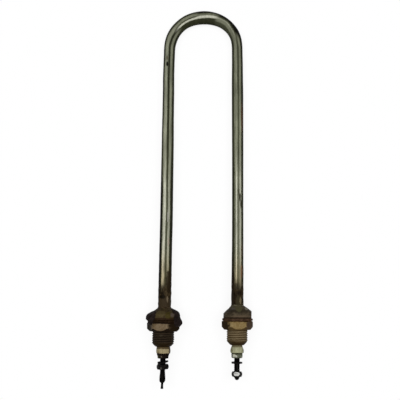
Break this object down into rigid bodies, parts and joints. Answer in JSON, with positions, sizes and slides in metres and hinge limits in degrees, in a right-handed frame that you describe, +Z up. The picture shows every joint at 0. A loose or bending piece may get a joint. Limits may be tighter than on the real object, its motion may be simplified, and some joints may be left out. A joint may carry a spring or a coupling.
{
  "type": "tubular heating element",
  "caption": "Hairpin tubular heating element: a U-bent steel sheath with a brazed threaded fitting, gasket, lock nut, ceramic bead and screw terminal on each end.",
  "frame": {"origin": "centre of the bounding box on the surface that the element lies on, between the two legs", "axes": "+Z up, +Y from the terminals along the legs towards the bend, +X from the left leg (with the scale crust) to the right leg"},
  "size_m": [0.0724, 0.2706, 0.0207],
  "materials": {
    "sheath_steel": "used steel tube, olive-grey oxide, brown and scorched towards the fittings",
    "magnesia": "pressed powder, off-white",
    "coil_wire": "nickel-chrome resistance wire",
    "bush_brass": "turned brass, heavily tarnished",
    "braze": "brazing alloy, dull",
    "gasket_fibre": "red-brown vulcanised fibre, dirty",
    "nut_brass": "brass, worn bright on the faces and dark on the corners",
    "bead_ceramic": "unglazed steatite, cream with a green cast",
    "seal_compound": "red silicone compound",
    "stud_steel": "blackened steel",
    "plated_steel": "plated steel, dulled",
    "blackened_steel": "scorched steel",
    "scale_crust": "hard brown-black scale and rust, rough"
  },
  "bodies": {
    "root": {"sheath_tube": "sheath_steel", "magnesia_filling": "magnesia", "resistance_coil": "coil_wire", "left_terminal_pin": "stud_steel", "left_fitting_bush": "bush_brass", "left_braze_fillet": "braze", "left_gasket": "gasket_fibre", "left_lock_nut": "nut_brass", "left_ceramic_bead": "bead_ceramic", "left_end_seal": "seal_compound", "left_inner_nut": "blackened_steel", "left_spring_washer": "blackened_steel", "left_outer_nut": "blackened_steel", "right_terminal_pin": "stud_steel", "right_fitting_bush": "bush_brass", "right_braze_fillet": "braze", "right_gasket": "gasket_fibre", "right_lock_nut": "nut_brass", "right_ceramic_bead": "bead_ceramic", "right_end_seal": "seal_compound", "right_inner_nut": "plated_steel", "right_spring_washer": "plated_steel", "right_outer_nut": "plated_steel", "outer_scale_lump": "scale_crust", "inner_scale_lump": "scale_crust"}
  },
  "joints": []
}
